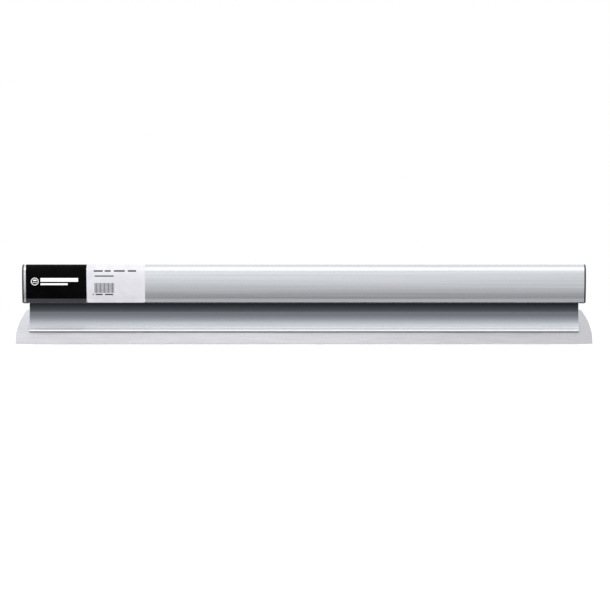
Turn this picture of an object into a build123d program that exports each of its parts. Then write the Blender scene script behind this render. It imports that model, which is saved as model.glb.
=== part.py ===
"""Wide skimming blade for filler and plaster.

An egg-shaped aluminium grip carries a coved blade holder on a T-rail in the slot along its bottom.
A replaceable stainless blade is clamped to the flat back of the holder by a strip, screws and
square nuts. Two plastic end caps close the grip and hold the rail between them.

Millimetres. +X runs along the blade, -Y is the front with the finger cove, and +Z is up.
The origin is at the height of the blade's working edge, under the middle of the grip.
"""

from build123d import *

import os
from math import asin, atan2, cos, degrees, hypot, radians, sin

# Blade
BLADE_LENGTH = 1000.0
BLADE_HEIGHT = 59.0
BLADE_THICKNESS = 0.5
BLADE_END_RADIUS = 85.0
BLADE_END_STRAIGHT = 3.5  # height of the straight piece below each end arc
BLADE_FRONT = 5.5  # y of the blade's front face, against the flat back of the holder
BLADE_BACK = BLADE_FRONT + BLADE_THICKNESS

# Clamp screws, M4 x 8 button heads, and their square nuts
SCREW_COUNT = 10
SCREW_PITCH = 100.0
SCREW_HEIGHT = 34.0
SCREW_RADIUS = 1.95
SCREW_LENGTH = 8.0
HEAD_RADIUS = 3.8
HEAD_HEIGHT = 2.2
HEAD_RIM = 0.5
SOCKET_ACROSS = 2.5
SOCKET_DEPTH = 1.3
SCREW_CLEARANCE_RADIUS = 2.4
NUT_SIDE = 7.0
NUT_THICKNESS = 2.2
NUT_BORE_RADIUS = 2.0
NUT_CHAMFER = 0.6

# Grip
GRIP_LENGTH = 969.0
GRIP_TOP = 137.5
GRIP_BOTTOM = 71.0
GRIP_DEPTH = 32.0
GRIP_WALL = 1.4
GRIP_SIDE_RADIUS = 115.0
LIP_TOP = 78.4  # the crease where the bowed side meets the straight lip
LIP_HALF_DEPTH = 5.5
LIP_ROUNDING = 1.8
CREASE_ROUNDING = 0.6
WEB_HEIGHT = 108.0
WEB_THICKNESS = 1.4
PORT_OUTER_RADIUS = 3.6
PORT_RADIUS = 1.6
PORT_GAP = 1.8

# Slot and channel along the bottom of the grip, and the T-rail of the holder in them
FLANGE_THICKNESS = 2.2
SLOT_HALF = 2.6
CHANNEL_HALF = 4.6
CHANNEL_HEIGHT = 3.8
CEILING_THICKNESS = 1.6
RAIL_SIDE_GAP = 0.2
RAIL_TOP_GAP = 0.2

# Holder
HOLDER_LENGTH = 950.0
SHOULDER_THICKNESS = 2.0
COVE_TOP = (-2.6, GRIP_BOTTOM - SHOULDER_THICKNESS)
COVE_FOOT = (-14.0, 25.0)
COVE_TURN = 84.0
NOSE_RADIUS = 2.75
HEEL_ROUNDING = 0.8
STOP_GAP = 0.2
STOP_HEIGHT = 2.0
STOP_DEPTH = 1.3
CHAMBER_WALL = 1.6
CHAMBER_ROUNDING = 0.4
NUT_SLOT_HALF = 2.3
NUT_SLOT_WALL = 2.2
NUT_CHANNEL_HALF = 3.7
NUT_CHANNEL_DEPTH = 3.0
NUT_CHANNEL_WALL = 1.3

# Clamp strip
STRIP_LENGTH = 944.0
STRIP_BOTTOM = 21.5
STRIP_HEIGHT = 30.0
STRIP_THICKNESS = 3.5
STRIP_RECESS_FLOOR = 2.6
STRIP_RECESS_HEIGHT = 10.0
STRIP_BEVEL = 1.6
STRIP_ROUNDING = 0.8

# End caps and their countersunk screws
CAP_THICKNESS = 3.0
CAP_OVERHANG = 0.3
CAP_ROUNDING = 2.4
PLUG_DEPTH = 7.8
PLUG_GAP = 0.3
PLUG_WALL = 1.6
PLUG_RELIEF = 5.0  # half height of the gap that leaves the web and the screw port free
TONGUE_GAP = 0.1
TONGUE_DROP = 0.8
CAP_SCREW_HEAD_RADIUS = 3.6
CAP_SCREW_SHANK_RADIUS = 1.55
CAP_SCREW_LENGTH = 14.0
CAP_SCREW_POINT = 2.0
CAP_SCREW_HOLE_RADIUS = 2.1
CROSS_WIDTH = 0.9
CROSS_LENGTH = 3.6
CROSS_DEPTH = 1.4

# Labels wrapped round the grip
LABEL_THICKNESS = 0.12
LABEL_BOTTOM = 71.6
LABEL_CORNER = 3.0
DARK_LABEL_SPAN = (-480.9, -376.0)
WHITE_LABEL_SPAN = (-375.2, -274.9)

GRIP_RADIUS = GRIP_DEPTH / 2
GRIP_SHOULDER = GRIP_TOP - GRIP_RADIUS
CHANNEL_BOTTOM = GRIP_BOTTOM + FLANGE_THICKNESS
CHANNEL_TOP = CHANNEL_BOTTOM + CHANNEL_HEIGHT
CEILING_TOP = CHANNEL_TOP + CEILING_THICKNESS
GRIP_END = GRIP_LENGTH / 2
STRIP_RECESS = BLADE_BACK + STRIP_RECESS_FLOOR
SCREW_PLACES = [(i - (SCREW_COUNT - 1) / 2) * SCREW_PITCH for i in range(SCREW_COUNT)]
CHAMBER_TOP = SCREW_HEIGHT + NUT_CHANNEL_HALF + NUT_CHANNEL_WALL
EVERYWHERE = 400.0  # a cutting rectangle of this size reaches past any section


def grip_outline() -> Sketch:
    """The outside of the grip's section: a round top, bowed sides and a narrower straight lip."""
    side_angle = degrees(asin((GRIP_SHOULDER - LIP_TOP) / GRIP_SIDE_RADIUS))
    with BuildSketch() as outline:
        with BuildLine():
            side = JernArc((GRIP_RADIUS, GRIP_SHOULDER), (0, -1), GRIP_SIDE_RADIUS, -side_angle)
            Line(side @ 1, (LIP_HALF_DEPTH, GRIP_BOTTOM))
            mirror(about=Plane.YZ)
            Line((-LIP_HALF_DEPTH, GRIP_BOTTOM), (LIP_HALF_DEPTH, GRIP_BOTTOM))
            CenterArc((0, GRIP_SHOULDER), GRIP_RADIUS, 0, 180)
        make_face()
        lip_corners, creases = outline.vertices().group_by(Axis.Y)[:2]
        fillet(lip_corners, LIP_ROUNDING)
        fillet(creases, CREASE_ROUNDING)
    return outline.sketch


def grip_cavity(inset: float) -> Sketch:
    """The hollow of the grip above its channel, this far inside the outer outline."""
    with BuildSketch() as cavity:
        add(grip_outline())
        offset(amount=-inset, kind=Kind.INTERSECTION)
        with Locations((0, CEILING_TOP + inset - GRIP_WALL)):
            Rectangle(EVERYWHERE, EVERYWHERE, align=(Align.CENTER, Align.MIN), mode=Mode.INTERSECT)
    return cavity.sketch


def t_section(gap: float, foot: float) -> Sketch:
    """A T that fills the grip's channel and slot with this much side gap, down to the foot."""
    with BuildSketch() as tee:
        with Locations((0, CHANNEL_BOTTOM)):
            Rectangle(
                2 * (CHANNEL_HALF - gap),
                CHANNEL_HEIGHT - RAIL_TOP_GAP,
                align=(Align.CENTER, Align.MIN),
            )
        with Locations((0, foot)):
            Rectangle(
                2 * (SLOT_HALF - gap), CHANNEL_BOTTOM - foot, align=(Align.CENTER, Align.MIN)
            )
    return tee.sketch


def holder_outline() -> Sketch:
    """The outside of the holder's section below the grip: shoulder, cove, nose and flat back."""
    chord_y = COVE_FOOT[0] - COVE_TOP[0]
    chord_z = COVE_FOOT[1] - COVE_TOP[1]
    cove_radius = hypot(chord_y, chord_z) / 2 / sin(radians(COVE_TURN / 2))
    chord_angle = degrees(atan2(chord_z, chord_y))
    heading = radians(chord_angle + COVE_TURN / 2)
    nose_turn = -(chord_angle - COVE_TURN / 2)
    stop_bottom = BLADE_HEIGHT + STOP_GAP
    with BuildSketch() as outline:
        with BuildLine():
            cove = JernArc(COVE_TOP, (cos(heading), sin(heading)), cove_radius, -COVE_TURN)
            nose = JernArc(cove @ 1, cove % 1, NOSE_RADIUS, nose_turn)
            Polyline(
                nose @ 1,
                (BLADE_FRONT, (nose @ 1).Y),
                (BLADE_FRONT, stop_bottom),
                (BLADE_FRONT + STOP_DEPTH, stop_bottom),
                (BLADE_FRONT + STOP_DEPTH, stop_bottom + STOP_HEIGHT),
                (BLADE_FRONT, stop_bottom + STOP_HEIGHT),
                (BLADE_FRONT, GRIP_BOTTOM),
                (COVE_TOP[0], GRIP_BOTTOM),
                COVE_TOP,
            )
        make_face()
        heel = outline.vertices().group_by(Axis.Y)[0].sort_by(Axis.X)[-1]
        fillet(heel, HEEL_ROUNDING)
    return outline.sketch


def nut_channel_block(half_height: float, front: float, back: float) -> Sketch:
    """A rectangle centred on the clamp screws' height, from the front to the back depth."""
    with BuildSketch() as block:
        with Locations((front, SCREW_HEIGHT)):
            Rectangle(back - front, 2 * half_height, align=(Align.MIN, Align.CENTER))
    return block.sketch


def save(piece: BuildPart, name: str) -> None:
    """Labels a finished piece and writes it as its own STEP file."""
    piece.part.label = name
    export_step(piece.part, f"parts/{name}.step")


os.makedirs("parts", exist_ok=True)

# Grip: one hollow extrusion, stiffened by a web with an open screw port in its middle.
with BuildPart() as grip:
    with BuildSketch(Plane.YZ.offset(-GRIP_END)):
        add(grip_outline())
        add(grip_cavity(GRIP_WALL), mode=Mode.SUBTRACT)
        with Locations((0, WEB_HEIGHT)):
            Rectangle(GRIP_DEPTH - 2 * GRIP_WALL, WEB_THICKNESS)
            Circle(PORT_OUTER_RADIUS)
            Circle(PORT_RADIUS, mode=Mode.SUBTRACT)
            Rectangle(
                PORT_GAP, 2 * PORT_OUTER_RADIUS, align=(Align.CENTER, Align.MIN), mode=Mode.SUBTRACT
            )
        with Locations((0, CHANNEL_BOTTOM)):
            Rectangle(
                2 * CHANNEL_HALF,
                CHANNEL_HEIGHT,
                align=(Align.CENTER, Align.MIN),
                mode=Mode.SUBTRACT,
            )
        with Locations((0, GRIP_BOTTOM)):
            Rectangle(2 * SLOT_HALF, 2 * FLANGE_THICKNESS, mode=Mode.SUBTRACT)
    extrude(amount=GRIP_LENGTH)
save(grip, "grip_profile")

# Holder: the T-rail, the coved front, the hollow foot and the nut channel are one extrusion.
nut_seat = BLADE_FRONT - NUT_SLOT_WALL
channel_floor = nut_seat - NUT_CHANNEL_DEPTH
with BuildSketch() as chamber:
    add(holder_outline())
    offset(amount=-CHAMBER_WALL, kind=Kind.INTERSECTION)
    Rectangle(EVERYWHERE, 2 * CHAMBER_TOP, mode=Mode.INTERSECT)
    add(
        nut_channel_block(
            NUT_CHANNEL_HALF + NUT_CHANNEL_WALL, channel_floor - NUT_CHANNEL_WALL, BLADE_FRONT
        ),
        mode=Mode.SUBTRACT,
    )
    fillet(chamber.vertices(), CHAMBER_ROUNDING)
with BuildPart() as holder:
    with BuildSketch(Plane.YZ.offset(-HOLDER_LENGTH / 2)):
        add(holder_outline())
        add(t_section(RAIL_SIDE_GAP, COVE_TOP[1]))
        add(chamber.sketch, mode=Mode.SUBTRACT)
        add(nut_channel_block(NUT_CHANNEL_HALF, channel_floor, nut_seat), mode=Mode.SUBTRACT)
        add(nut_channel_block(NUT_SLOT_HALF, nut_seat, BLADE_FRONT + 1), mode=Mode.SUBTRACT)
    extrude(amount=HOLDER_LENGTH)
save(holder, "blade_holder")

# Blade: a thin sheet with arched ends and notches that open upwards, so it draws out downwards.
end_angle = degrees(asin((BLADE_HEIGHT - BLADE_END_STRAIGHT) / BLADE_END_RADIUS))
with BuildPart() as blade:
    with BuildSketch(Plane.XZ.offset(-BLADE_FRONT)):
        with BuildLine():
            end = CenterArc(
                (BLADE_LENGTH / 2 - BLADE_END_RADIUS, BLADE_END_STRAIGHT),
                BLADE_END_RADIUS,
                0,
                end_angle,
            )
            Polyline((0, 0), (BLADE_LENGTH / 2, 0), end @ 0)
            Line(end @ 1, (0, BLADE_HEIGHT))
            mirror(about=Plane.YZ)
        make_face()
        with Locations([(x, SCREW_HEIGHT) for x in SCREW_PLACES]):
            Circle(SCREW_CLEARANCE_RADIUS, mode=Mode.SUBTRACT)
            Rectangle(
                2 * SCREW_CLEARANCE_RADIUS,
                BLADE_HEIGHT - SCREW_HEIGHT + 1,
                align=(Align.CENTER, Align.MIN),
                mode=Mode.SUBTRACT,
            )
    extrude(amount=-BLADE_THICKNESS)
save(blade, "blade")

# Clamp strip: a flat extrusion with a recess for the screw heads.
with BuildPart() as strip:
    with BuildSketch(Plane.YZ.offset(-STRIP_LENGTH / 2)) as strip_section:
        with Locations((BLADE_BACK, STRIP_BOTTOM)):
            Rectangle(STRIP_THICKNESS, STRIP_HEIGHT, align=(Align.MIN, Align.MIN))
        back_corners = strip_section.vertices().group_by(Axis.X)[-1].sort_by(Axis.Y)
        chamfer(back_corners[0], STRIP_BEVEL)
        fillet(back_corners[-1], STRIP_ROUNDING)
        with Locations((STRIP_RECESS, SCREW_HEIGHT)):
            Rectangle(
                STRIP_THICKNESS,
                STRIP_RECESS_HEIGHT,
                align=(Align.MIN, Align.CENTER),
                mode=Mode.SUBTRACT,
            )
    extrude(amount=STRIP_LENGTH)
    with BuildSketch(Plane.XZ):
        with Locations([(x, SCREW_HEIGHT) for x in SCREW_PLACES]):
            Circle(SCREW_CLEARANCE_RADIUS)
    extrude(amount=-2 * STRIP_RECESS, mode=Mode.SUBTRACT)
save(strip, "clamp_strip")

# Clamp screws and square nuts, one of each at every place along the strip.
dome_rise = HEAD_HEIGHT - HEAD_RIM
dome_radius = (HEAD_RADIUS**2 + dome_rise**2) / (2 * dome_rise)
dome_angle = degrees(asin(HEAD_RADIUS / dome_radius))
for number, place in enumerate(SCREW_PLACES, start=1):
    seat = Plane(origin=(place, STRIP_RECESS, SCREW_HEIGHT), x_dir=(1, 0, 0), z_dir=(0, 1, 0))
    with BuildPart() as screw:
        with BuildSketch(Plane(seat.origin, x_dir=(1, 0, 0), z_dir=(0, 0, 1))):
            with BuildLine():
                dome = CenterArc(
                    (0, HEAD_HEIGHT - dome_radius), dome_radius, 90 - dome_angle, dome_angle
                )
                Polyline(
                    dome @ 0,
                    (HEAD_RADIUS, 0),
                    (SCREW_RADIUS, 0),
                    (SCREW_RADIUS, -SCREW_LENGTH),
                    (0, -SCREW_LENGTH),
                    dome @ 1,
                )
            make_face()
        revolve(axis=Axis(seat.origin, (0, 1, 0)))
        with BuildSketch(seat.offset(HEAD_HEIGHT)):
            RegularPolygon(SOCKET_ACROSS / 2, 6, major_radius=False)
        extrude(amount=-SOCKET_DEPTH, mode=Mode.SUBTRACT)
    save(screw, f"clamp_screw_{number:02d}")

    with BuildPart() as nut:
        with BuildSketch(Plane(origin=(place, nut_seat, SCREW_HEIGHT), z_dir=(0, -1, 0))):
            Rectangle(NUT_SIDE, NUT_SIDE)
            Circle(NUT_BORE_RADIUS, mode=Mode.SUBTRACT)
        extrude(amount=NUT_THICKNESS)
        chamfer(nut.edges().filter_by(Axis.Y), NUT_CHAMFER)
    save(nut, f"square_nut_{number:02d}")

# End caps: a rounded plate, a two-part plug and a tongue that closes the slot up to the rail.
with BuildPart() as right_cap:
    with BuildSketch(Plane.YZ.offset(GRIP_END)):
        add(grip_outline())
        offset(amount=CAP_OVERHANG)
    extrude(amount=CAP_THICKNESS)
    rim = right_cap.faces().sort_by(Axis.X)[-1].edges()
    fillet(rim, CAP_ROUNDING)
    with BuildSketch(Plane.YZ.offset(GRIP_END)):
        add(grip_cavity(GRIP_WALL + PLUG_GAP))
        add(grip_cavity(GRIP_WALL + PLUG_GAP + PLUG_WALL), mode=Mode.SUBTRACT)
        with Locations((0, WEB_HEIGHT)):
            Rectangle(EVERYWHERE, 2 * PLUG_RELIEF, mode=Mode.SUBTRACT)
        add(t_section(TONGUE_GAP, GRIP_BOTTOM - TONGUE_DROP))
    extrude(amount=-PLUG_DEPTH)
    with Locations(Plane(origin=(GRIP_END + CAP_THICKNESS, 0, WEB_HEIGHT), z_dir=(1, 0, 0))):
        CounterSinkHole(CAP_SCREW_HOLE_RADIUS, CAP_SCREW_HEAD_RADIUS, counter_sink_angle=90)
save(right_cap, "end_cap_right")

with BuildPart() as left_cap:
    mirror(right_cap.part, about=Plane.YZ)
save(left_cap, "end_cap_left")

# Countersunk screws of the end caps.
cap_face = GRIP_END + CAP_THICKNESS
head_depth = CAP_SCREW_HEAD_RADIUS - CAP_SCREW_SHANK_RADIUS
with BuildPart() as right_cap_screw:
    with BuildSketch(Plane(origin=(cap_face, 0, WEB_HEIGHT), x_dir=(1, 0, 0), z_dir=(0, -1, 0))):
        with BuildLine():
            Polyline(
                (0, 0),
                (0, CAP_SCREW_HEAD_RADIUS),
                (-head_depth, CAP_SCREW_SHANK_RADIUS),
                (CAP_SCREW_POINT - CAP_SCREW_LENGTH, CAP_SCREW_SHANK_RADIUS),
                (-CAP_SCREW_LENGTH, 0),
                (0, 0),
            )
        make_face()
    revolve(axis=Axis((0, 0, WEB_HEIGHT), (1, 0, 0)))
    with BuildSketch(Plane(origin=(cap_face, 0, WEB_HEIGHT), z_dir=(1, 0, 0))):
        Rectangle(CROSS_LENGTH, CROSS_WIDTH)
        Rectangle(CROSS_WIDTH, CROSS_LENGTH)
    extrude(amount=-CROSS_DEPTH, mode=Mode.SUBTRACT)
save(right_cap_screw, "cap_screw_right")

with BuildPart() as left_cap_screw:
    mirror(right_cap_screw.part, about=Plane.YZ)
save(left_cap_screw, "cap_screw_left")

# Labels: thin sheets wrapped over the top of the grip from one lip to the other.
for label_name, (first_x, last_x) in (
    ("label_dark", DARK_LABEL_SPAN),
    ("label_white", WHITE_LABEL_SPAN),
):
    with BuildPart() as label:
        with BuildSketch(Plane.YZ.offset(first_x)):
            add(grip_outline())
            offset(amount=LABEL_THICKNESS)
            add(grip_outline(), mode=Mode.SUBTRACT)
        extrude(amount=last_x - first_x)
        with BuildSketch(Plane.XZ):
            with Locations((first_x, LABEL_BOTTOM)):
                RectangleRounded(
                    last_x - first_x, GRIP_TOP, LABEL_CORNER, align=(Align.MIN, Align.MIN)
                )
        extrude(amount=GRIP_DEPTH, both=True, mode=Mode.INTERSECT)
    save(label, label_name)
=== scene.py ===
"""Looks for a wide skimming blade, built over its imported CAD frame.

The CAD nodes get their finishes here and keep their shapes, apart from the twelve screws, which
threaded ones stand for. The printing on the two labels is made as two more pieces. Lengths are
in metres in the meshes, and class fields that end in _mm are in millimetres.
"""

import logging
import math
from dataclasses import dataclass, field
from enum import Enum

import bmesh
import bpy
from mathutils import Matrix, Vector


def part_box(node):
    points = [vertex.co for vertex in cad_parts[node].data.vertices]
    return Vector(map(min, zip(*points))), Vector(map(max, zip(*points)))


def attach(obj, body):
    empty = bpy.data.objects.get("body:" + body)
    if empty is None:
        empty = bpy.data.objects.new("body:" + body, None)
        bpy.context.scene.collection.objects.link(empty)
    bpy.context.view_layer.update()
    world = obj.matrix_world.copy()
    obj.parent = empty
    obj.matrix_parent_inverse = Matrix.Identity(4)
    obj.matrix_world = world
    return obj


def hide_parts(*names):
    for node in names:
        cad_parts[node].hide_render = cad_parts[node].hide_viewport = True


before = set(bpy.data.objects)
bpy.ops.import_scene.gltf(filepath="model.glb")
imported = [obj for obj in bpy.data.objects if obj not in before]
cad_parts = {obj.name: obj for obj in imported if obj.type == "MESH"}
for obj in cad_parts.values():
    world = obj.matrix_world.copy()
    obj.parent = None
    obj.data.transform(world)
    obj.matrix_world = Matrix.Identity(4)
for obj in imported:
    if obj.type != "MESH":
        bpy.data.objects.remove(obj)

MM = 0.001
WELD = 1e-7  # how near two points of a screw have to be to be one
LOG = logging.getLogger("skimming_blade")

Sockets = dict[str | int, bpy.types.NodeSocket]
Bar = tuple[tuple[float, float], tuple[float, float]]


class Slot(Enum):
    """Material slot names from the record, which no piece here is given."""

    SCREW = "screw_steel"
    DARK_LABEL = "black_vinyl"
    WHITE_LABEL = "white_vinyl"


class Ink(Enum):
    """The inks of the labels, as sRGB hex colours."""

    WHITE = "F4F4F2"
    BLACK = "17171A"


class Drive(Enum):
    """The drives of the screws, each with how much it narrows to its bottom."""

    CROSS = 0.6
    HEXAGON = 0.97


def linear(hex_colour: str) -> tuple[float, float, float, float]:
    """Turns an sRGB hex colour into linear RGBA.

    Args:
        hex_colour: Six hex digits, without a hash sign.

    Returns:
        The linear red, green and blue, and an alpha of 1.
    """
    channels = [int(hex_colour[i : i + 2], 16) / 255 for i in (0, 2, 4)]
    red, green, blue = (
        c / 12.92 if c <= 0.04045 else ((c + 0.055) / 1.055) ** 2.4 for c in channels
    )
    return red, green, blue, 1.0


def add_node(
    tree: bpy.types.NodeTree,
    kind: str,
    settings: dict[str, object] | None = None,
    values: dict[str | int, object] | None = None,
    links: Sockets | None = None,
) -> bpy.types.Node:
    """Adds a node to a tree with its settings, socket values and links.

    Args:
        tree: The node tree to add to.
        kind: The node's type name in Blender.
        settings: Attributes of the node itself.
        values: Default values of its input sockets, by name or index.
        links: Output sockets to link into its input sockets, by name or index.

    Returns:
        The new node.
    """
    node = tree.nodes.new(kind)
    for name, value in (settings or {}).items():
        setattr(node, name, value)
    for name, value in (values or {}).items():
        node.inputs[name].default_value = value
    for name, socket in (links or {}).items():
        tree.links.new(socket, node.inputs[name])
    return node


def set_ramp(
    node: bpy.types.Node, stops: list[tuple[float, tuple[float, float, float, float]]]
) -> None:
    """Sets a colour ramp's stops.

    Args:
        node: The ramp's node, fresh, with its two first stops.
        stops: Each stop's position and linear colour, lowest first.
    """
    elements = node.color_ramp.elements
    elements[-1].position = stops[-1][0]
    for position, _ in stops[1:-1]:
        elements.new(position)
    for element, (position, colour) in zip(elements, stops):
        element.position = position
        element.color = colour


@dataclass(frozen=True)
class Finish:
    """A surface finish, which knows how to make its own material."""

    name: str

    def material(self) -> bpy.types.Material:
        """Makes the material, with its shader dressed by the finish.

        Returns:
            The finished material.
        """
        made = bpy.data.materials.new(self.name)
        made.use_nodes = True
        tree = made.node_tree
        tree.nodes.clear()
        shader = add_node(tree, "ShaderNodeBsdfPrincipled")
        add_node(tree, "ShaderNodeOutputMaterial", links={"Surface": shader.outputs["BSDF"]})
        self.dress(tree, shader)
        return made

    def dress(self, tree: bpy.types.NodeTree, shader: bpy.types.Node) -> None:
        """Sets the shader and adds the finish's patterns.

        Args:
            tree: The material's node tree.
            shader: The Principled BSDF to dress.
        """
        raise NotImplementedError

    def along(self, tree: bpy.types.NodeTree, axis: str) -> bpy.types.NodeSocket:
        """Finds the place along one of the piece's axes.

        Args:
            tree: The material's node tree.
            axis: X, Y or Z.

        Returns:
            The coordinate, in metres.
        """
        place = add_node(tree, "ShaderNodeTexCoord")
        axes = add_node(tree, "ShaderNodeSeparateXYZ", links={"Vector": place.outputs["Object"]})
        return axes.outputs[axis]

    def noise(
        self,
        tree: bpy.types.NodeTree,
        scale: tuple[float, float, float],
        detail: float,
        gain: float,
        tilt: float = 0.0,
    ) -> bpy.types.NodeSocket:
        """Adds noise with its own scale along each axis.

        Args:
            tree: The material's node tree.
            scale: The features per metre along X, Y and Z.
            detail: The noise's octaves.
            gain: The strength of each octave against the one before.
            tilt: A turn about X, in radians.

        Returns:
            The noise's value, from 0 to 1.
        """
        place = add_node(tree, "ShaderNodeTexCoord")
        stretched = add_node(
            tree,
            "ShaderNodeMapping",
            values={"Rotation": (tilt, 0.0, 0.0), "Scale": scale},
            links={"Vector": place.outputs["Object"]},
        )
        noise = add_node(
            tree,
            "ShaderNodeTexNoise",
            values={"Scale": 1.0, "Detail": detail, "Roughness": gain},
            links={"Vector": stretched.outputs["Vector"]},
        )
        return noise.outputs["Fac"]

    def streaks(
        self, tree: bpy.types.NodeTree, length_mm: float, width_mm: float, detail: float = 3.0
    ) -> bpy.types.NodeSocket:
        """Adds noise drawn out along the tool's length.

        Args:
            tree: The material's node tree.
            length_mm: The length of one streak, along X.
            width_mm: The width of one streak.
            detail: The noise's octaves.

        Returns:
            The noise's value, from 0 to 1.
        """
        across = 1 / (width_mm * MM)
        return self.noise(tree, (1 / (length_mm * MM), across, across), detail, gain=0.55)

    def grains(
        self, tree: bpy.types.NodeTree, size_mm: float, detail: float = 2.0
    ) -> bpy.types.NodeSocket:
        """Adds even noise of one grain size.

        Args:
            tree: The material's node tree.
            size_mm: The size of a grain.
            detail: The noise's octaves.

        Returns:
            The noise's value, from 0 to 1.
        """
        return self.streaks(tree, size_mm, size_mm, detail)

    def spread(
        self, tree: bpy.types.NodeTree, value: bpy.types.NodeSocket, low: float, high: float
    ) -> bpy.types.NodeSocket:
        """Maps a noise's middle range onto a range of values.

        Args:
            tree: The material's node tree.
            value: The noise.
            low: The result at a noise of 0.3.
            high: The result at a noise of 0.7.

        Returns:
            The mapped value.
        """
        mapped = add_node(
            tree,
            "ShaderNodeMapRange",
            values={"From Min": 0.3, "From Max": 0.7, "To Min": low, "To Max": high},
            links={"Value": value},
        )
        return mapped.outputs["Result"]

    def tint(
        self, tree: bpy.types.NodeTree, value: bpy.types.NodeSocket, dark: str, light: str
    ) -> bpy.types.NodeSocket:
        """Mixes two colours by a noise's middle range.

        Args:
            tree: The material's node tree.
            value: The noise.
            dark: The sRGB hex colour at its low end.
            light: The sRGB hex colour at its high end.

        Returns:
            The mixed colour.
        """
        mix = add_node(
            tree,
            "ShaderNodeMix",
            settings={"data_type": "RGBA"},
            values={6: linear(dark), 7: linear(light)},
            links={0: self.spread(tree, value, 0.0, 1.0)},
        )
        return mix.outputs[2]

    def surface(
        self,
        tree: bpy.types.NodeTree,
        shader: bpy.types.Node,
        colour: bpy.types.NodeSocket,
        roughness: bpy.types.NodeSocket,
        heights: list[tuple[bpy.types.NodeSocket, float]],
    ) -> None:
        """Links the colour, the roughness and bumps, one on top of the other, to the shader.

        Args:
            tree: The material's node tree.
            shader: The shader to link to.
            colour: The base colour.
            roughness: The roughness.
            heights: Each height map with its depth in millimetres.
        """
        tree.links.new(colour, shader.inputs["Base Color"])
        tree.links.new(roughness, shader.inputs["Roughness"])
        below: Sockets = {}
        for height, depth_mm in heights:
            bump = add_node(
                tree,
                "ShaderNodeBump",
                values={"Strength": 1.0, "Distance": depth_mm * MM},
                links={"Height": height, **below},
            )
            below = {"Normal": bump.outputs["Normal"]}
        tree.links.new(below["Normal"], shader.inputs["Normal"])


@dataclass(frozen=True)
class ExtrudedAluminium(Finish):
    """Extruded aluminium, etched and clear anodised.

    The etch leaves an even satin sheen. The die leaves fine lines along the length, which the
    anodising softens but doesn't hide. Each bar is sawn to length after that, so its ends are
    bare metal, brighter and scored by the saw's teeth.
    """

    node: str = "grip_profile"  # the CAD node it finishes
    dark: str = "B9BCC0"
    light: str = "C9CBCE"
    smooth: float = 0.30
    rough: float = 0.38
    line_length_mm: float = 420.0
    line_width_mm: float = 2.4  # real die lines are about 0.3 mm, too fine to show
    line_depth_mm: float = 0.0012
    etch_grain_mm: float = 0.5
    etch_depth_mm: float = 0.003
    sawn: str = "D9DADB"
    sawn_smooth: float = 0.22
    sawn_rough: float = 0.40
    sawn_skin_mm: float = 0.05
    tooth_width_mm: float = 0.6  # a tooth's line is about 0.2 mm, too fine to show
    tooth_length_mm: float = 30.0
    tooth_tilt: float = 0.35

    def dress(self, tree: bpy.types.NodeTree, shader: bpy.types.Node) -> None:
        """Sets the metal, its die lines, its etched grain and its sawn ends.

        Args:
            tree: The material's node tree.
            shader: The Principled BSDF to dress.
        """
        shader.inputs["Metallic"].default_value = 1.0
        lines = self.streaks(tree, self.line_length_mm, self.line_width_mm)
        etch = self.grains(tree, self.etch_grain_mm)
        teeth = self.tooth_lines(tree)
        ends = self.sawn_ends(tree)
        colour = add_node(
            tree,
            "ShaderNodeMix",
            settings={"data_type": "RGBA"},
            links={
                0: ends,
                # the holder's tone paints shade and a highlight on its hollow front; the grip's
                # tone leaves the colour plain
                6: self.tone(tree, self.tint(tree, lines, self.dark, self.light)),
                7: self.tint(tree, teeth, self.dark, self.sawn),
            },
        )
        roughness = add_node(
            tree,
            "ShaderNodeMix",
            links={
                0: ends,
                2: self.spread(tree, lines, self.smooth, self.rough),
                3: self.spread(tree, teeth, self.sawn_smooth, self.sawn_rough),
            },
        )
        heights = [(lines, self.line_depth_mm), (etch, self.etch_depth_mm)]
        self.surface(tree, shader, colour.outputs[2], roughness.outputs[0], heights)

    def tone(
        self, tree: bpy.types.NodeTree, colour: bpy.types.NodeSocket
    ) -> bpy.types.NodeSocket:
        """Tones the anodised colour, which stays plain here.

        Args:
            tree: The material's node tree.
            colour: The colour with its die lines.

        Returns:
            The toned colour.
        """
        return colour

    def sawn_ends(self, tree: bpy.types.NodeTree) -> bpy.types.NodeSocket:
        """Finds the sawn ends, which are the skin at each end of the bar.

        Args:
            tree: The material's node tree.

        Returns:
            1 on the two cut faces and 0 elsewhere.
        """
        outward = add_node(
            tree,
            "ShaderNodeMath",
            settings={"operation": "ABSOLUTE"},
            links={0: self.along(tree, "X")},
        )
        ends = add_node(
            tree,
            "ShaderNodeMath",
            settings={"operation": "GREATER_THAN"},
            values={1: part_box(self.node)[1].x - self.sawn_skin_mm * MM},
            links={0: outward.outputs["Value"]},
        )
        return ends.outputs["Value"]

    def tooth_lines(self, tree: bpy.types.NodeTree) -> bpy.types.NodeSocket:
        """Adds the lines that the saw's teeth leave, at a slant across the bar.

        Args:
            tree: The material's node tree.

        Returns:
            The lines' value, from 0 to 1.
        """
        scale = (0.0, 1 / (self.tooth_length_mm * MM), 1 / (self.tooth_width_mm * MM))
        return self.noise(tree, scale, detail=2.0, gain=0.5, tilt=self.tooth_tilt)


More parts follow.
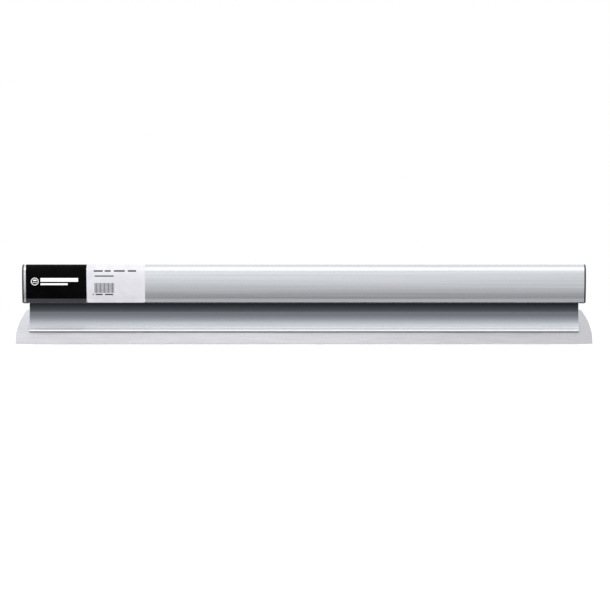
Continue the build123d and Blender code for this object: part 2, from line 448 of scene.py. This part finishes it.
@dataclass(frozen=True)
class PaintedShadeAluminium(ExtrudedAluminium):
    """Grey anodised aluminium with painted shade on its hollow front.

    The front's colour is a painted shade that darkens towards the hollow's top, under the grip,
    and a painted highlight along the foot's nose, where it is brightest.
    """

    # painted shade and highlight: darker up the hollow under the grip, lightest at the foot's nose
    stops: tuple[tuple[float, str], ...] = (
        (22.0, "D0D2D6"),
        (28.0, "DDDFE2"),
        (31.0, "ADB0B4"),
        (35.0, "94979C"),
        (44.0, "7C7F84"),
        (52.0, "5D6065"),
        (60.0, "4A4D53"),
        (66.0, "44474C"),
        (70.0, "2A2C30"),
    )  # height in millimetres and sRGB hex colour
    span_mm: float = 50.0  # from the lowest stop to past the highest one
    front_mm: float = 1.0  # Y of the hollow's back, behind which the colour is plain
    fade_mm: float = 1.0

    def tone(
        self, tree: bpy.types.NodeTree, colour: bpy.types.NodeSocket
    ) -> bpy.types.NodeSocket:
        """Paints shade and a highlight onto the front by height.

        Args:
            tree: The material's node tree.
            colour: The colour with its die lines.

        Returns:
            The toned colour.
        """
        # the ramp paints shade up the hollow and a highlight at the foot's nose
        foot = self.stops[0][0]
        height = add_node(
            tree,
            "ShaderNodeMapRange",
            values={"From Min": foot * MM, "From Max": (foot + self.span_mm) * MM},
            links={"Value": self.along(tree, "Z")},
        )
        painted_shade_ramp = add_node(tree, "ShaderNodeValToRGB", links={"Fac": height.outputs["Result"]})
        set_ramp(painted_shade_ramp, [((z - foot) / self.span_mm, linear(shade)) for z, shade in self.stops])
        back = self.front_mm + self.fade_mm
        in_front = add_node(
            tree,
            "ShaderNodeMapRange",
            values={"From Min": back * MM, "From Max": self.front_mm * MM},
            links={"Value": self.along(tree, "Y")},
        )
        mix = add_node(
            tree,
            "ShaderNodeMix",
            settings={"data_type": "RGBA"},
            links={0: in_front.outputs["Result"], 6: colour, 7: painted_shade_ramp.outputs["Color"]},
        )
        return mix.outputs[2]


@dataclass(frozen=True)
class SpringSteel(Finish):
    """Cold-rolled stainless spring steel, polished along its length.

    Rolling leaves a close grain along the strip, and the last of the working edge is ground,
    which leaves it rougher than the rest.
    """

    dark: str = "AFAFB3"
    light: str = "C1C1C5"
    smooth: float = 0.24
    rough: float = 0.30
    grain_mm: tuple[float, float] = (60.0, 0.9)  # length and width
    grain_depth_mm: float = 0.0015
    cloud_mm: tuple[float, float] = (160.0, 30.0)
    cloud_depth_mm: float = 0.02
    edge_height_mm: float = 1.6
    edge_full_mm: float = 1.28  # below this height the grinding shows in full
    edge_roughness: float = 0.12  # added to the polish

    def dress(self, tree: bpy.types.NodeTree, shader: bpy.types.Node) -> None:
        """Sets the steel, its rolled grain and its ground edge.

        Args:
            tree: The material's node tree.
            shader: The Principled BSDF to dress.
        """
        shader.inputs["Metallic"].default_value = 1.0
        grain = self.streaks(tree, *self.grain_mm, detail=4.0)
        clouds = self.streaks(tree, *self.cloud_mm, detail=1.0)
        edge = add_node(
            tree,
            "ShaderNodeMapRange",
            values={
                "From Min": self.edge_height_mm * MM,
                "From Max": self.edge_full_mm * MM,
                "To Min": 0.0,
                "To Max": self.edge_roughness,
            },
            links={"Value": self.along(tree, "Z")},
        )
        polish = self.spread(tree, clouds, self.smooth, self.rough)
        roughness = add_node(
            tree,
            "ShaderNodeMath",
            settings={"operation": "ADD"},
            links={0: polish, 1: edge.outputs["Result"]},
        )
        colour = self.tint(tree, grain, self.dark, self.light)
        heights = [(grain, self.grain_depth_mm), (clouds, self.cloud_depth_mm)]
        self.surface(tree, shader, colour, roughness.outputs["Value"], heights)


@dataclass(frozen=True)
class MouldedPlastic(Finish):
    """Black injection-moulded polyamide.

    The mould is spark-eroded, which gives a fine even pebble. The melt's flow leaves faint
    lighter clouds under it.
    """

    dark: str = "101011"
    light: str = "1D1D1F"
    smooth: float = 0.42
    rough: float = 0.58
    ior: float = 1.53
    pebble_mm: float = 0.45
    pebble_depth_mm: float = 0.03
    cloud_mm: float = 18.0

    def dress(self, tree: bpy.types.NodeTree, shader: bpy.types.Node) -> None:
        """Sets the plastic, its spark-eroded pebble and its clouds.

        Args:
            tree: The material's node tree.
            shader: The Principled BSDF to dress.
        """
        shader.inputs["IOR"].default_value = self.ior
        pebble = self.grains(tree, self.pebble_mm)
        clouds = self.grains(tree, self.cloud_mm, 1.0)
        colour = self.tint(tree, clouds, self.dark, self.light)
        roughness = self.spread(tree, pebble, self.smooth, self.rough)
        self.surface(tree, shader, colour, roughness, [(pebble, self.pebble_depth_mm)])


@dataclass(frozen=True)
class ZincPlate(Finish):
    """Bright zinc-plated steel, as on machine screws and nuts.

    The plating is cool and bright, slightly cloudy, and faintly pitted.
    """

    dark: str = "A6AAAF"
    light: str = "BEC2C6"
    smooth: float = 0.22
    rough: float = 0.36
    cloud_mm: float = 1.6
    pit_mm: float = 0.25
    pit_depth_mm: float = 0.006

    def dress(self, tree: bpy.types.NodeTree, shader: bpy.types.Node) -> None:
        """Sets the plating, its clouds and its pits.

        Args:
            tree: The material's node tree.
            shader: The Principled BSDF to dress.
        """
        shader.inputs["Metallic"].default_value = 1.0
        clouds = self.grains(tree, self.cloud_mm)
        pits = self.grains(tree, self.pit_mm)
        colour = self.tint(tree, clouds, self.dark, self.light)
        roughness = self.spread(tree, clouds, self.smooth, self.rough)
        self.surface(tree, shader, colour, roughness, [(pits, self.pit_depth_mm)])


@dataclass(frozen=True)
class LabelStock(Finish):
    """Printed label stock, which is vinyl film or coated paper.

    The stock follows the metal closely, so its sheen shows a faint long-wave ripple, and its
    coating has a finer orange peel.
    """

    dark: str = "C6C6CB"
    light: str = "CECED2"
    smooth: float = 0.38
    rough: float = 0.46
    ior: float = 1.49
    specular: float = 0.5
    ripple_mm: float = 22.0
    ripple_depth_mm: float = 0.04
    peel_mm: float = 0.9
    peel_depth_mm: float = 0.002
    # painted sheen: a lighter grey along the foot, where the lip catches light
    painted_lip_sheen: str | None = None
    painted_lip_sheen_top_mm: float = 78.3

    def dress(self, tree: bpy.types.NodeTree, shader: bpy.types.Node) -> None:
        """Sets the stock, its ripple, its orange peel and any painted sheen along its foot.

        Args:
            tree: The material's node tree.
            shader: The Principled BSDF to dress.
        """
        shader.inputs["IOR"].default_value = self.ior
        shader.inputs["Specular IOR Level"].default_value = self.specular
        ripple = self.grains(tree, self.ripple_mm, 1.0)
        peel = self.grains(tree, self.peel_mm)
        colour = self.tint(tree, ripple, self.dark, self.light)
        if self.painted_lip_sheen is not None:
            colour = self.paint_lip_sheen(tree, colour, self.painted_lip_sheen)
        roughness = self.spread(tree, peel, self.smooth, self.rough)
        heights = [(ripple, self.ripple_depth_mm), (peel, self.peel_depth_mm)]
        self.surface(tree, shader, colour, roughness, heights)

    def paint_lip_sheen(
        self, tree: bpy.types.NodeTree, colour: bpy.types.NodeSocket, painted_lip_sheen: str
    ) -> bpy.types.NodeSocket:
        """Paints a lighter strip along the label's foot, a painted sheen where the lip catches
        light.

        Args:
            tree: The material's node tree.
            colour: The colour above the painted sheen.
            painted_lip_sheen: The painted sheen's sRGB hex colour.

        Returns:
            The colour with the painted sheen.
        """
        below = add_node(
            tree,
            "ShaderNodeMath",
            settings={"operation": "LESS_THAN"},
            values={1: self.painted_lip_sheen_top_mm * MM},
            links={0: self.along(tree, "Z")},
        )
        mix = add_node(
            tree,
            "ShaderNodeMix",
            settings={"data_type": "RGBA"},
            values={7: linear(painted_lip_sheen)},
            links={0: below.outputs["Value"], 6: colour},
        )
        return mix.outputs[2]


@dataclass(frozen=True)
class PrintInk(Finish):
    """Screen-printed ink on a label.

    The ink is thin and even, with a slight mottle from the mesh it was pressed through.
    """

    ink: Ink = Ink.BLACK
    mottled: str = "232327"
    smooth: float = 0.40
    rough: float = 0.52
    mottle_mm: float = 0.7
    mottle_depth_mm: float = 0.002

    def dress(self, tree: bpy.types.NodeTree, shader: bpy.types.Node) -> None:
        """Sets the ink and its mottle.

        Args:
            tree: The material's node tree.
            shader: The Principled BSDF to dress.
        """
        mottle = self.grains(tree, self.mottle_mm)
        colour = self.tint(tree, mottle, self.ink.value, self.mottled)
        roughness = self.spread(tree, mottle, self.smooth, self.rough)
        self.surface(tree, shader, colour, roughness, [(mottle, self.mottle_depth_mm)])


def dress_node(name: str, material: bpy.types.Material) -> None:
    """Gives a carried-over CAD node its material.

    Args:
        name: The node's name.
        material: The material for all its slots.
    """
    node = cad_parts[name]
    node.data.materials.clear()
    node.data.materials.append(material)
    LOG.info("%s: %s", name, material.name)


def finish_piece(
    bm: bmesh.types.BMesh, name: str, body: str, material: bpy.types.Material
) -> bpy.types.Object:
    """Turns a bmesh into a piece that rides on a CAD body.

    Args:
        bm: The shape, in the row frame. It is freed.
        name: The piece's name.
        body: The CAD body it rides on.
        material: Its material.

    Returns:
        The new object.
    """
    mesh = bpy.data.meshes.new(name)
    bm.to_mesh(mesh)
    bm.free()
    mesh.materials.append(material)
    piece = bpy.data.objects.new(name, mesh)
    bpy.context.scene.collection.objects.link(piece)
    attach(piece, body)
    LOG.info("%s: %d faces", name, len(mesh.polygons))
    return piece


@dataclass
class Grip:
    """The egg-shaped grip: a round crown on bowed sides."""

    side_radius_mm: float = 115.0
    finish: ExtrudedAluminium = field(
        default_factory=lambda: ExtrudedAluminium("satin anodised aluminium")
    )
    half_depth: float = field(init=False)
    shoulder: float = field(init=False)

    def __post_init__(self) -> None:
        """Reads the grip's size off its CAD node."""
        low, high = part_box(self.finish.node)
        self.half_depth = (high.y - low.y) / 2
        self.shoulder = high.z - self.half_depth

    def build(self) -> None:
        """Dresses the grip."""
        dress_node(self.finish.node, self.finish.material())

    def front(self, height: float, lift: float) -> float:
        """Finds the grip's front surface at a height.

        Args:
            height: Z, above the lip.
            lift: How far to stand off the surface.

        Returns:
            Y of the surface.
        """
        rise = height - self.shoulder
        if rise >= 0:
            return -math.sqrt(max((self.half_depth + lift) ** 2 - rise**2, 0.0))
        radius = self.side_radius_mm * MM
        return radius - self.half_depth - math.sqrt((radius + lift) ** 2 - rise**2)


@dataclass
class Holder:
    """The coved holder and its clamp strip, both darker than the grip."""

    shade: tuple[str, str] = ("94979C", "A1A4A8")

    def build(self) -> None:
        """Dresses the holder and the strip."""
        dark, light = self.shade
        # the cove's front gets painted shade and a painted highlight by height
        coved = PaintedShadeAluminium(
            "grey anodised cove with painted shade",
            "blade_holder",
            dark,
            light,
            smooth=0.40,
            rough=0.50,
            line_width_mm=1.8,
        )
        flat = ExtrudedAluminium(
            "grey anodised bar", "clamp_strip", dark, light, smooth=0.36, rough=0.44
        )
        for finish in (coved, flat):
            dress_node(finish.node, finish.material())


@dataclass
class Blade:
    """The thin blade."""

    finish: Finish = field(default_factory=lambda: SpringSteel("polished spring steel"))

    def build(self) -> None:
        """Dresses the blade."""
        dress_node("blade", self.finish.material())


@dataclass(frozen=True)
class Screw:
    """A screw about the Z axis, with the top of its head at Z 0, its drive and its thread."""

    head_mm: tuple[tuple[float, float], ...]  # radius and height, from the drive outwards
    length_mm: float
    core_mm: float
    crest_mm: float
    pitch_mm: float
    tip_mm: tuple[float, float]  # radius of the end, and height of the point
    drive: Drive
    drive_mm: float
    drive_depth_mm: float
    rim_mm: float = 0.05  # the flat left round the drive
    cross_hub: float = 0.15  # a cross's hub and arms, as shares of the drive's width
    cross_arm: float = 0.35
    cross_sharpness: int = 3
    root_mm: float = 0.05  # how deep the thread's ridge is sunk in the core
    ridge_half: float = 0.45  # half the ridge's width, as a share of the pitch
    ring: int = 48
    turn_steps: int = 24

    def build(self) -> bmesh.types.BMesh:
        """Spins the screw, sinks its drive and winds its thread.

        Returns:
            The screw as a bmesh.
        """
        bm = bmesh.new()
        self.body(bm)
        self.socket(bm)
        self.thread(bm)
        return bm

    def body(self, bm: bmesh.types.BMesh) -> None:
        """Spins the head and the core about Z.

        Args:
            bm: The bmesh to add to.
        """
        end, point = self.tip_mm
        outline = [
            *self.head_mm,
            (self.core_mm, self.head_mm[-1][1]),
            (self.core_mm, point - self.length_mm),
            (end, -self.length_mm),
        ]
        verts = [bm.verts.new((radius * MM, 0, height * MM)) for radius, height in outline]
        edges = [bm.edges.new(pair) for pair in zip(verts, verts[1:])]
        bmesh.ops.spin(
            bm,
            geom=verts + edges,
            cent=(0, 0, 0),
            axis=(0, 0, 1),
            angle=2 * math.pi,
            steps=self.ring,
            use_merge=True,
        )
        bmesh.ops.remove_doubles(bm, verts=bm.verts, dist=WELD)
        bmesh.ops.holes_fill(bm, edges=bm.edges, sides=self.ring)
        bmesh.ops.recalc_face_normals(bm, faces=bm.faces)

    def reach(self, angle: float) -> float:
        """Finds how far the drive's rim reaches at an angle.

        Args:
            angle: The angle round the axis.

        Returns:
            The distance from the axis.
        """
        if self.drive is Drive.CROSS:
            arm = self.cross_arm * abs(math.cos(2 * angle)) ** self.cross_sharpness
            return self.drive_mm * MM * (self.cross_hub + arm)
        sixth = math.pi / 3
        return self.drive_mm / 2 * MM / math.cos(angle % sixth - sixth / 2)

    def socket(self, bm: bmesh.types.BMesh) -> None:
        """Sinks the drive into the flat middle of the head.

        Args:
            bm: The bmesh that holds the head.
        """
        top = max(bm.faces, key=lambda f: (round(f.calc_center_median().z, 6), f.calc_area()))
        bmesh.ops.inset_individual(bm, faces=[top], thickness=self.rim_mm * MM)
        rim = bmesh.ops.extrude_discrete_faces(bm, faces=[top])["faces"][0]
        for vert in rim.verts:
            angle = math.atan2(vert.co.y, vert.co.x)
            reach = self.reach(angle)
            vert.co.xy = (math.cos(angle) * reach, math.sin(angle) * reach)
        bottom = bmesh.ops.extrude_discrete_faces(bm, faces=[rim])["faces"][0]
        narrowing = self.drive.value
        bmesh.ops.scale(bm, vec=(narrowing, narrowing, 1.0), verts=bottom.verts)
        bmesh.ops.translate(bm, vec=(0, 0, -self.drive_depth_mm * MM), verts=bottom.verts)

    def thread(self, bm: bmesh.types.BMesh) -> None:
        """Winds the thread's ridge round the core.

        Args:
            bm: The bmesh to add to.
        """
        foot = self.core_mm - self.root_mm
        start = self.tip_mm[1] + self.pitch_mm / 2 - self.length_mm
        turns = int((self.head_mm[-1][1] - start) / self.pitch_mm)
        profile = ((foot, -self.ridge_half), (self.crest_mm, 0.0), (foot, self.ridge_half))
        verts = [
            bm.verts.new((radius * MM, 0, (start + at * self.pitch_mm) * MM))
            for radius, at in profile
        ]
        edges = [bm.edges.new((verts[i], verts[(i + 1) % 3])) for i in range(3)]
        before = set(bm.faces)
        bmesh.ops.contextual_create(bm, geom=edges)
        bmesh.ops.spin(
            bm,
            geom=verts + edges,
            cent=(0, 0, 0),
            axis=(0, 0, 1),
            dvec=(0, 0, self.pitch_mm * MM / self.turn_steps),
            angle=2 * math.pi * turns,
            steps=turns * self.turn_steps,
        )
        last = [v for v in bm.verts if v.is_boundary]
        bmesh.ops.contextual_create(bm, geom=last)
        bmesh.ops.recalc_face_normals(bm, faces=[f for f in bm.faces if f not in before])


def fit_screw(node: str, screw: Screw, turn: Matrix, finish: bpy.types.Material) -> None:
    """Puts a threaded screw in the place of a plain CAD screw.

    Args:
        node: The CAD screw's node, which has its body's name.
        screw: The screw.
        turn: The turn from +Z to the way the head faces.
        finish: The screw's material.
    """
    dress_node(node, finish)
    low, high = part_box(node)
    facing = turn @ Vector((0, 0, 1))
    face = (low + high) / 2 + facing * (screw.length_mm * MM / 2)
    bm = screw.build()
    bmesh.ops.transform(bm, matrix=Matrix.Translation(face) @ turn, verts=bm.verts)
    piece = finish_piece(bm, f"threaded_{node}", node, finish)
    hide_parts(node)


@dataclass
class Fasteners:
    """The M4 button-head screws of the clamp and their square nuts."""

    count: int = 10
    head_radius_mm: float = 3.8
    head_height_mm: float = 2.2
    rim_mm: float = 0.5
    flat_radius_mm: float = 1.7
    dome_steps: int = 6
    finish: Finish = field(default_factory=lambda: ZincPlate("zinc plate"))

    def build(self) -> bpy.types.Material:
        """Dresses the nuts and fits the clamp's screws.

        Returns:
            The plating, for other screws.
        """
        material = self.finish.material()
        screw = Screw(
            head_mm=self.dome(),
            length_mm=10.0,
            core_mm=1.62,
            crest_mm=1.94,
            pitch_mm=0.7,
            tip_mm=(1.3, 0.4),
            drive=Drive.HEXAGON,
            drive_mm=2.5,
            drive_depth_mm=1.5,
        )
        backwards = Matrix.Rotation(-math.pi / 2, 4, "X")
        for number in range(1, self.count + 1):
            dress_node(f"square_nut_{number:02d}", material)
            fit_screw(f"clamp_screw_{number:02d}", screw, backwards, material)
        return material

    def dome(self) -> tuple[tuple[float, float], ...]:
        """Draws the button head's domed outline, from the socket's rim to under the head.

        Returns:
            Radius and height of each point, in millimetres, with the dome's top at 0.
        """
        rise = self.head_height_mm - self.rim_mm
        radius = (self.head_radius_mm**2 + rise**2) / (2 * rise)
        first = math.asin(self.flat_radius_mm / radius)
        step = (math.asin(self.head_radius_mm / radius) - first) / self.dome_steps
        angles = [first + step * i for i in range(self.dome_steps + 1)]
        arc = [(radius * math.sin(a), radius * (math.cos(a) - 1)) for a in angles]
        return (*arc, (self.head_radius_mm, -self.head_height_mm))


@dataclass
class EndCaps:
    """The two caps and the countersunk self-tapping screws that hold them."""

    plating: bpy.types.Material
    head_radius_mm: float = 3.6
    flat_radius_mm: float = 1.9
    chamfer_mm: float = 0.12
    rim_mm: float = 0.25
    core_mm: float = 1.2
    finish: Finish = field(default_factory=lambda: MouldedPlastic("moulded black polyamide"))

    def build(self) -> None:
        """Dresses the caps and fits their screws."""
        material = self.finish.material()
        rim = self.head_radius_mm
        screw = Screw(
            head_mm=(
                (self.flat_radius_mm, 0.0),
                (rim - self.chamfer_mm, 0.0),
                (rim, -self.chamfer_mm),
                (rim, -self.rim_mm),
                (self.core_mm, self.core_mm - rim),
            ),
            length_mm=14.0,
            core_mm=self.core_mm,
            crest_mm=1.55,
            pitch_mm=1.2,
            tip_mm=(0.15, 2.2),
            drive=Drive.CROSS,
            drive_mm=3.6,
            drive_depth_mm=1.4,
        )
        for side, outward in (("left", -1), ("right", 1)):
            dress_node(f"end_cap_{side}", material)
            turn = Matrix.Rotation(outward * math.pi / 2, 4, "Y")
            fit_screw(f"cap_screw_{side}", screw, turn, self.plating)


@dataclass
class Labels:
    """The two labels and their printing, which is plain bars, a ring and a stripe pattern."""

    grip: Grip
    film_mm: float = 0.12
    ink_mm: float = 0.04
    grid_mm: tuple[float, float] = (8.0, 0.8)  # facets along and round the grip
    sign_mm: tuple[float, float] = (-465.3, 108.0)
    sign_radii_mm: tuple[float, float] = (6.6, 5.5)
    sign_steps: int = 48
    bars_on_dark_mm: tuple[Bar, ...] = (
        ((-465.3, 110.0), (6.4, 2.4)),
        ((-465.3, 106.0), (7.6, 0.9)),
        ((-422.9, 110.8), (65.0, 6.4)),
        ((-431.9, 103.4), (47.0, 3.2)),
    )  # the middle of each bar, then its width and height
    bars_on_white_mm: tuple[Bar, ...] = (
        ((-355.6, 126.2), (15.6, 2.7)),
        ((-339.2, 126.2), (10.4, 2.7)),
        ((-319.2, 126.2), (19.0, 2.7)),
        ((-297.4, 126.2), (14.3, 2.7)),
        ((-345.3, 117.4), (32.8, 2.0)),
        ((-364.6, 85.6), (1.6, 2.2)),
        ((-354.2, 85.6), (12.0, 2.2)),
        ((-337.0, 85.6), (14.0, 2.2)),
    )
    stripes_mm: tuple[float, float] = (-362.0, -327.3)  # left and right edge
    stripes_height_mm: tuple[float, float] = (88.4, 105.4)
    rhythm: tuple[int, ...] = (2, 1, 1, 2, 3, 1, 1, 1, 2, 2, 1, 3)  # stripe, gap, in modules
    repeats: int = 5
    film_dark: Finish = field(
        default_factory=lambda: LabelStock(
            "black vinyl film",
            dark="030304",
            light="060607",
            smooth=0.46,
            rough=0.54,
            specular=0.02,
            # painted sheen along the black label's lip
            painted_lip_sheen="3A3A3D",
        )
    )
    film_white: Finish = field(default_factory=lambda: LabelStock("coated white label paper"))

    def build(self) -> None:
        """Dresses both labels and prints on them."""
        dress_node("label_dark", self.film_dark.material())
        dress_node("label_white", self.film_white.material())
        self.print_dark()
        self.print_white()

    def patch(
        self, bm: bmesh.types.BMesh, centre_mm: tuple[float, float], size_mm: tuple[float, float]
    ) -> None:
        """Adds a flat rectangle in the label's own plane, X along and Y up.

        Args:
            bm: The bmesh to add to.
            centre_mm: Its centre.
            size_mm: Its width and height.
        """
        columns, rows = (max(1, round(s / grid)) for s, grid in zip(size_mm, self.grid_mm))
        width, height = (s * MM / 2 for s in size_mm)
        place = Matrix.Translation((centre_mm[0] * MM, centre_mm[1] * MM, 0))
        bmesh.ops.create_grid(
            bm,
            x_segments=columns,
            y_segments=rows,
            size=1.0,
            matrix=place @ Matrix.Diagonal((width, height, 1, 1)),
        )

    def ring(self, bm: bmesh.types.BMesh) -> None:
        """Adds the sign's ring in the label's own plane.

        Args:
            bm: The bmesh to add to.
        """
        place = Matrix.Translation((self.sign_mm[0] * MM, self.sign_mm[1] * MM, 0))
        loops = []
        for radius in self.sign_radii_mm:
            made = bmesh.ops.create_circle(
                bm, segments=self.sign_steps, radius=radius * MM, matrix=place
            )
            loops += list({e for v in made["verts"] for e in v.link_edges})
        bmesh.ops.bridge_loops(bm, edges=loops)

    def wrap(self, bm: bmesh.types.BMesh) -> None:
        """Lays flat shapes onto the front of the grip, just over the film.

        Args:
            bm: The shapes, X along and Y up. They end in the row frame.
        """
        lift = (self.film_mm + self.ink_mm) * MM
        for vert in bm.verts:
            vert.co = Vector((vert.co.x, self.grip.front(vert.co.y, lift), vert.co.y))
        bmesh.ops.recalc_face_normals(bm, faces=bm.faces)
        inward = [f for f in bm.faces if f.normal.y > 0]
        bmesh.ops.reverse_faces(bm, faces=inward)

    def print_dark(self) -> None:
        """Prints a ring with a plain sign in it and two bars on the black label."""
        bm = bmesh.new()
        self.ring(bm)
        for bar in self.bars_on_dark_mm:
            self.patch(bm, *bar)
        self.wrap(bm)
        ink = PrintInk("white screen ink", ink=Ink.WHITE, mottled="E9E9E7")
        finish_piece(bm, "print_on_dark_label", "handle", ink.material())

    def print_white(self) -> None:
        """Prints plain bars and a stripe pattern on the white label."""
        bm = bmesh.new()
        for bar in self.bars_on_white_mm:
            self.patch(bm, *bar)
        self.stripes(bm)
        self.wrap(bm)
        ink = PrintInk("black screen ink")
        finish_piece(bm, "print_on_white_label", "handle", ink.material())

    def stripes(self, bm: bmesh.types.BMesh) -> None:
        """Adds a row of upright stripes in a plain repeating rhythm that encodes nothing.

        Args:
            bm: The bmesh to add to.
        """
        at, right = self.stripes_mm
        low, high = self.stripes_height_mm
        module = (right - at) / (sum(self.rhythm) * self.repeats)
        for step, modules in enumerate(self.rhythm * self.repeats):
            width = modules * module
            if step % 2 == 0:
                self.patch(bm, (at + width / 2, (low + high) / 2), (width, high - low))
            at += width


@dataclass(frozen=True)
class SoftBox:
    """A rectangular soft light."""

    name: str
    place: tuple[float, float, float]
    aim: tuple[float, float, float]
    size: tuple[float, float]
    power: float  # in watts

    def build(self) -> None:
        """Makes the light and turns it towards its aim."""
        data = bpy.data.lights.new(self.name, "AREA")
        data.shape = "RECTANGLE"
        data.size, data.size_y = self.size
        data.energy = self.power
        light = bpy.data.objects.new(self.name, data)
        light.location = self.place
        facing = Vector(self.aim) - Vector(self.place)
        light.rotation_euler = facing.to_track_quat("-Z", "Y").to_euler()
        bpy.context.scene.collection.objects.link(light)


@dataclass
class Studio:
    """A pale floor, soft boxes, a pale surround and the camera."""

    distance: float = 8.0
    view_width: float = 1.0561
    camera_x: float = 0.0017
    camera_z: float = 0.0674
    sensor_mm: float = 36.0
    floor_half: float = 30.0
    floor_drop: float = 0.0005
    surround: str = "FFFFFF"
    glow: tuple[tuple[float, float], ...] = (
        (0.0, 0.02),
        (0.10, 0.06),
        (0.15, 0.20),
        (0.19, 0.50),
        (0.24, 0.80),
        (0.29, 1.02),
        (0.35, 1.10),
        (0.50, 1.15),
        (0.60, 1.20),
        (1.0, 1.30),
    )  # position from nadir to zenith, and brightness
    blue: float = 1.01  # the glow's blue against its red and green
    boxes: tuple[SoftBox, ...] = (
        SoftBox("overhead", (0.0, -0.85, 1.85), (0.0, 0.0, 0.09), (3.0, 1.2), 14.0),
        SoftBox("front", (-0.9, -3.6, 0.5), (-0.2, 0.0, 0.07), (2.6, 1.2), 7.0),
    )

    def build(self) -> None:
        """Makes the studio."""
        self.camera()
        self.floor()
        self.world()
        for box in self.boxes:
            box.build()

    def camera(self) -> None:
        """Makes the camera, level, in front of the tool."""
        data = bpy.data.cameras.new("camera")
        data.sensor_width = self.sensor_mm
        data.lens = self.sensor_mm * self.distance / self.view_width
        camera = bpy.data.objects.new("camera", data)
        camera.location = (self.camera_x, -self.distance, self.camera_z)
        camera.rotation_euler = (math.pi / 2, 0, 0)
        bpy.context.scene.collection.objects.link(camera)
        bpy.context.scene.camera = camera

    def floor(self) -> None:
        """Makes a wide pale floor just under the working edge, with faint paint grain."""
        bm = bmesh.new()
        bmesh.ops.create_grid(bm, x_segments=1, y_segments=1, size=self.floor_half)
        bmesh.ops.translate(bm, vec=(0, 0, -self.floor_drop), verts=bm.verts)
        mesh = bpy.data.meshes.new("floor")
        bm.to_mesh(mesh)
        bm.free()
        floor = bpy.data.objects.new("floor", mesh)
        bpy.context.scene.collection.objects.link(floor)
        floor.visible_glossy = False
        # rolled paint ripples and peels as label stock does, only wider
        paint = LabelStock("pale floor paint", dark="F2F2F2", light="F7F7F7", ripple_mm=400.0)
        mesh.materials.append(paint.material())

    def world(self) -> None:
        """Makes the surround: plain to the camera, and to the metal bright above and dim below."""
        world = bpy.data.worlds.new("surround")
        bpy.context.scene.world = world
        world.use_nodes = True
        tree = world.node_tree
        tree.nodes.clear()
        place = add_node(tree, "ShaderNodeTexCoord")
        axes = add_node(
            tree, "ShaderNodeSeparateXYZ", links={"Vector": place.outputs["Generated"]}
        )
        height = add_node(
            tree,
            "ShaderNodeMapRange",
            values={"From Min": -1.0, "From Max": 1.0},
            links={"Value": axes.outputs["Z"]},
        )
        ramp = add_node(tree, "ShaderNodeValToRGB", links={"Fac": height.outputs["Result"]})
        stops = [(at, (glow, glow, glow * self.blue, 1.0)) for at, glow in self.glow]
        set_ramp(ramp, stops)
        path = add_node(tree, "ShaderNodeLightPath")
        shown = add_node(
            tree,
            "ShaderNodeMix",
            settings={"data_type": "RGBA"},
            values={7: linear(self.surround)},
            links={0: path.outputs["Is Camera Ray"], 6: ramp.outputs["Color"]},
        )
        back = add_node(tree, "ShaderNodeBackground", links={"Color": shown.outputs[2]})
        add_node(tree, "ShaderNodeOutputWorld", links={"Surface": back.outputs["Background"]})


def main() -> None:
    """Builds the looks, in order, from the grip down."""
    logging.basicConfig(level=logging.INFO)
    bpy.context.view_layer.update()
    bpy.context.scene.view_settings.view_transform = "Standard"
    Studio().build()
    grip = Grip()
    grip.build()
    Holder().build()
    Blade().build()
    EndCaps(Fasteners().build()).build()
    Labels(grip).build()


if __name__ == "__main__":
    main()
